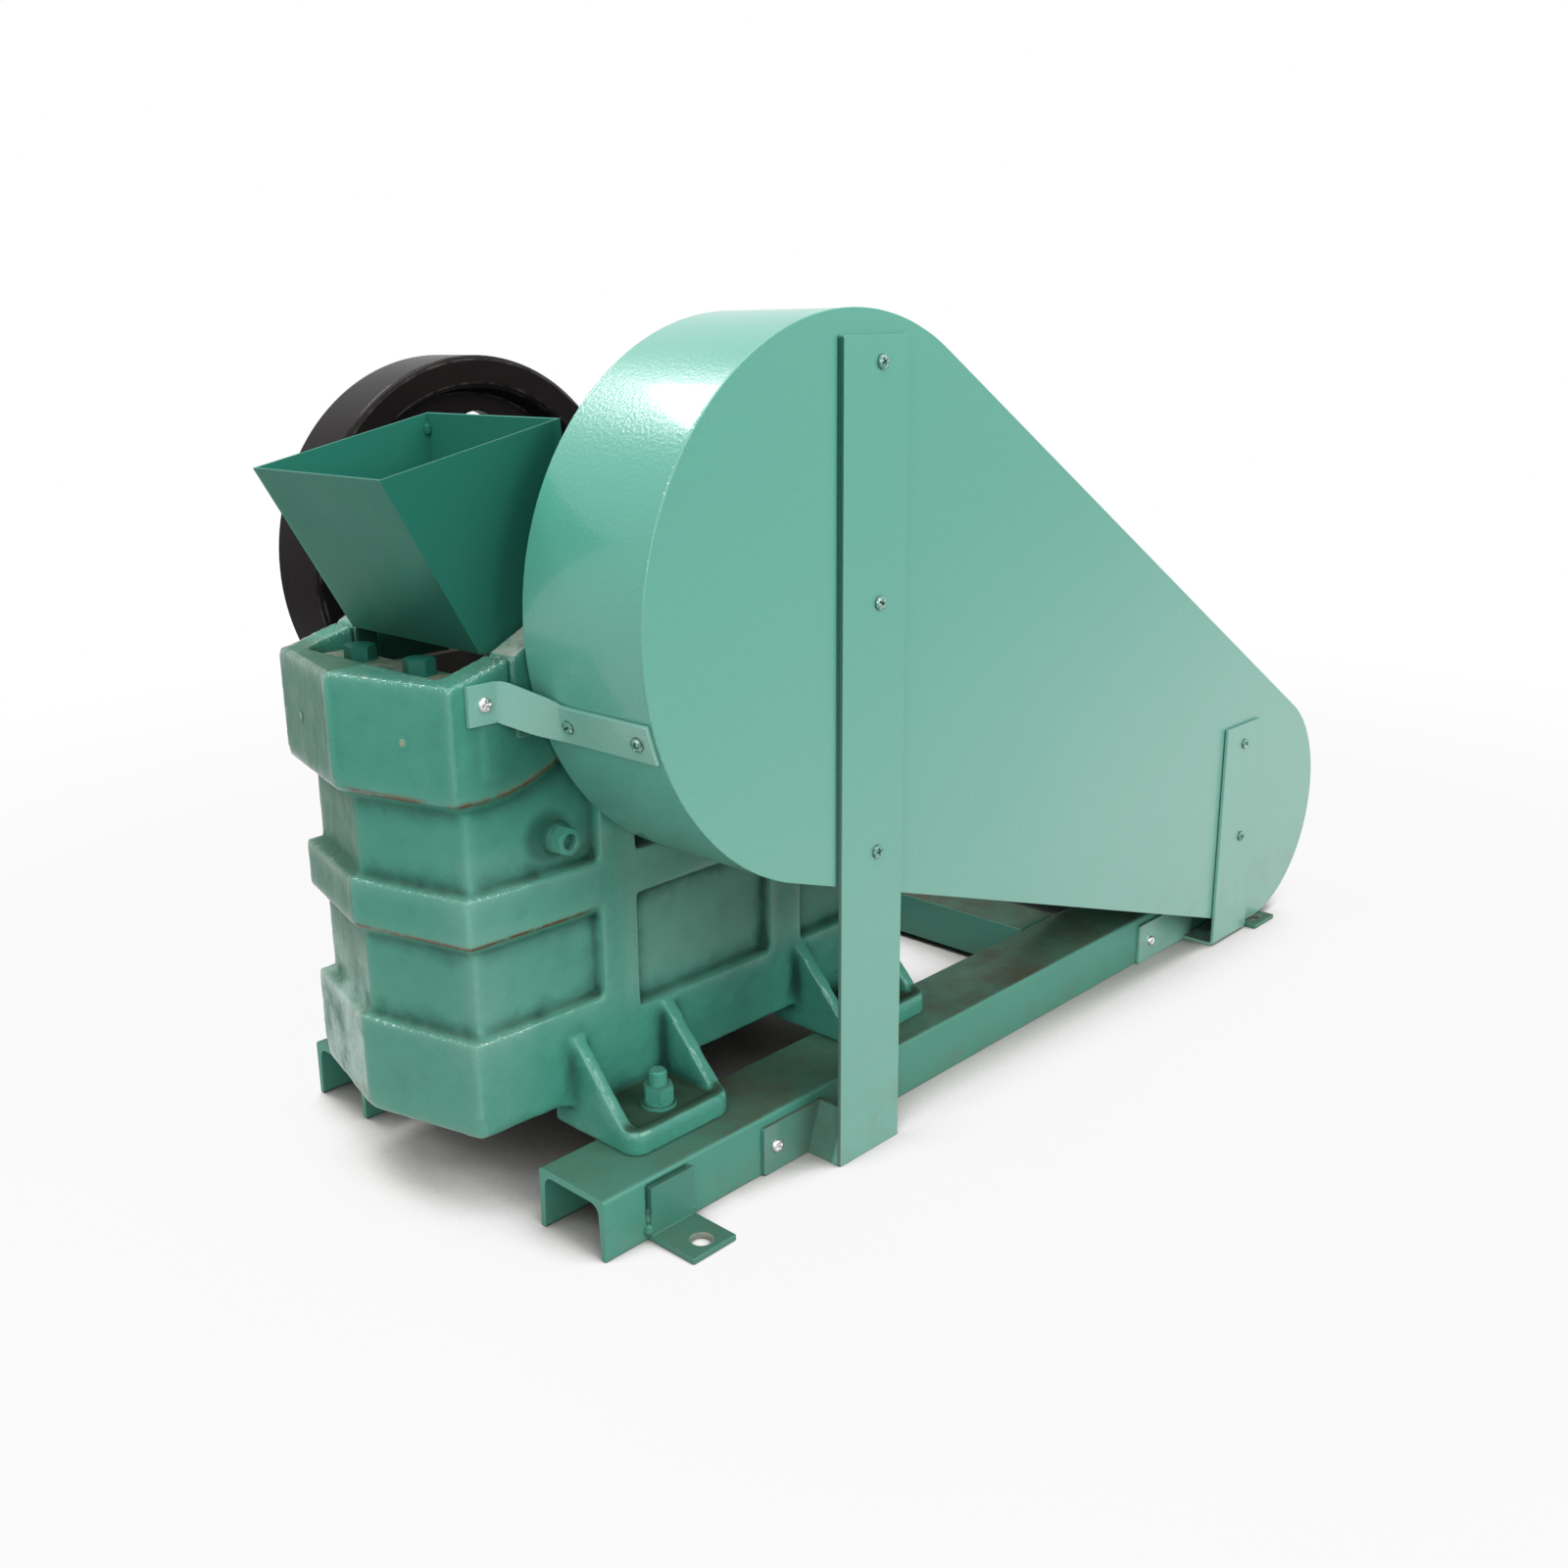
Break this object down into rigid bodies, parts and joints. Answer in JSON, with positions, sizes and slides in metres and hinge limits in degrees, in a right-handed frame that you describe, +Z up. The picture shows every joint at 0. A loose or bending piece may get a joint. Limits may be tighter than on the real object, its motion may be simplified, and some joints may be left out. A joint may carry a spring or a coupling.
{
  "type": "laboratory jaw crusher",
  "caption": "Small jaw crusher on a channel-rail base, with a banded cast body, sheet hopper, teardrop belt guard on legs and a black flywheel.",
  "frame": {"origin": "on the ground, in the middle of the four anchor holes", "axes": "+X from the jaw end to the motor end, +Y from the belt guard to the flywheel, +Z up"},
  "size_m": [0.965, 0.4605, 0.57],
  "materials": {
    "guard_paint": "gloss sea-green paint on sheet steel",
    "casting_paint": "sea-green paint on a rough iron casting, dusty",
    "frame_paint": "sea-green paint on rolled channel, dusty on top",
    "hopper_paint": "satin sea-green paint on thin sheet",
    "wheel_black": "satin black paint on cast iron",
    "jaw_steel": "raw manganese steel, dusty",
    "bright_steel": "machined steel",
    "spring_steel": "dark oiled spring steel",
    "belt_rubber": "matt black rubber"
  },
  "bodies": {
    "frame": {"base_rail_near": "frame_paint", "base_rail_far": "frame_paint", "anchor_tab_front_near": "frame_paint", "anchor_tab_front_far": "frame_paint", "anchor_tab_rear_near": "frame_paint", "anchor_tab_rear_far": "frame_paint", "cross_angle": "frame_paint", "motor_plate": "frame_paint", "crusher_body": "casting_paint", "foot_bolts": "casting_paint", "bearing_housing_near": "casting_paint", "bearing_housing_far": "casting_paint", "bearing_near": "bright_steel", "bearing_far": "bright_steel", "bearing_cover_near": "casting_paint", "bearing_cover_far": "casting_paint", "fixed_jaw_plate": "jaw_steel", "jaw_clamp_bar": "casting_paint", "cheek_plate_near": "jaw_steel", "cheek_plate_far": "jaw_steel", "swing_jaw": "casting_paint", "swing_jaw_plate": "jaw_steel", "toggle_plate": "jaw_steel", "toggle_block": "casting_paint", "tension_rod": "bright_steel", "tension_spring": "spring_steel", "hopper": "hopper_paint", "drive_belts": "belt_rubber", "motor_pulley": "wheel_black", "motor_body": "frame_paint", "motor_fan_cover": "frame_paint", "motor_terminal_box": "frame_paint", "guard_face": "guard_paint", "guard_rim": "guard_paint", "guard_leg_front": "guard_paint", "guard_leg_rear": "guard_paint", "guard_brace": "guard_paint"},
    "rotor": {"eccentric_shaft": "bright_steel", "flywheel": "wheel_black", "driven_pulley": "wheel_black"}
  },
  "joints": [
    {"name": "flywheel_spin", "type": "hinge", "parent": "frame", "child": "rotor", "pos_m": [-0.228, 0, 0.39], "axis": [0, 1, 0], "continuous": true}
  ]
}
